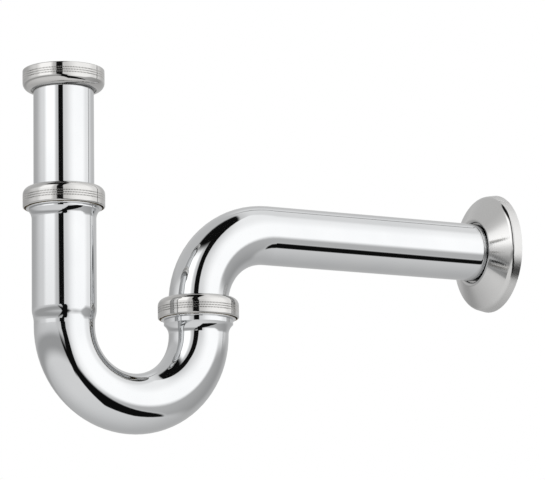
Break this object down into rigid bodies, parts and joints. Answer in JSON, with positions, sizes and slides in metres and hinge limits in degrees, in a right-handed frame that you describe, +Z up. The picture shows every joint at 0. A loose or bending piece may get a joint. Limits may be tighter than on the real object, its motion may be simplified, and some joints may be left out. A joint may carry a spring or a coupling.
{
  "type": "u trap",
  "caption": "Chromed tubular basin U trap: knurled union and slip nuts, adjustable inlet tube, swivelling U bend, and a level outlet pipe with a sliding wall rosette.",
  "frame": {"origin": "on the wall pipe's axis, in the plane of the wall that the rosette lies against", "axes": "+X along the wall pipe into the wall, +Z up, the trap's legs in the XZ plane"},
  "size_m": [0.2897, 0.066, 0.1924],
  "materials": {
    "chrome_tube": "bright chrome on drawn brass tube",
    "chrome_nut": "bright chrome, knurled band",
    "chrome_rosette": "bright chrome on pressed sheet",
    "seal_rubber": "matte moulded rubber",
    "washer_rubber": "matte cut sheet rubber",
    "ring_plastic": "matte natural plastic"
  },
  "bodies": {
    "outlet": {"outlet_bend": "chrome_tube"},
    "rosette": {"wall_rosette": "chrome_rosette"},
    "u": {"u_bend": "chrome_tube", "upper_cone_seal": "seal_rubber", "lower_cone_seal": "seal_rubber"},
    "inlet": {"inlet_tube": "chrome_tube", "inlet_washer": "washer_rubber"},
    "inlet_union": {"inlet_nut": "chrome_nut"},
    "upper_ring": {"upper_slip_ring": "ring_plastic"},
    "upper_nut": {"upper_slip_nut": "chrome_nut"},
    "lower_ring": {"lower_slip_ring": "ring_plastic"},
    "lower_nut": {"lower_slip_nut": "chrome_nut"}
  },
  "joints": [
    {"name": "rosette_slide", "type": "slide", "parent": "outlet", "child": "rosette", "axis": [-1, 0, 0], "range_m": [0, 0.13]},
    {"name": "u_swivel", "type": "hinge", "parent": "outlet", "child": "u", "pos_m": [-0.184, 0, -0.0467], "axis": [0, 0, 1], "range_deg": [-130, 130]},
    {"name": "inlet_slide", "type": "slide", "parent": "u", "child": "inlet", "axis": [0, 0, 1], "range_m": [-0.02, 0.025]},
    {"name": "inlet_nut_spin", "type": "hinge", "parent": "inlet", "child": "inlet_union", "pos_m": [-0.262, 0, 0.0749], "axis": [0, 0, 1], "continuous": true},
    {"name": "upper_ring_rise", "type": "slide", "parent": "u", "child": "upper_ring", "axis": [0, 0, 1], "range_m": [0, 0.0048]},
    {"name": "upper_nut_turn", "type": "hinge", "parent": "upper_ring", "child": "upper_nut", "pos_m": [-0.262, 0, 0.0115], "axis": [0, 0, 1], "range_deg": [0, 720]},
    {"name": "lower_ring_rise", "type": "slide", "parent": "u", "child": "lower_ring", "axis": [0, 0, 1], "range_m": [0, 0.0042]},
    {"name": "lower_nut_turn", "type": "hinge", "parent": "lower_ring", "child": "lower_nut", "pos_m": [-0.184, 0, -0.0428], "axis": [0, 0, 1], "range_deg": [0, 630]}
  ],
  "couplings": [
    {"joint": "upper_ring_rise", "follows": "upper_nut_turn", "m_per_rad": 0.00036749},
    {"joint": "lower_ring_rise", "follows": "lower_nut_turn", "m_per_rad": 0.00036749}
  ]
}
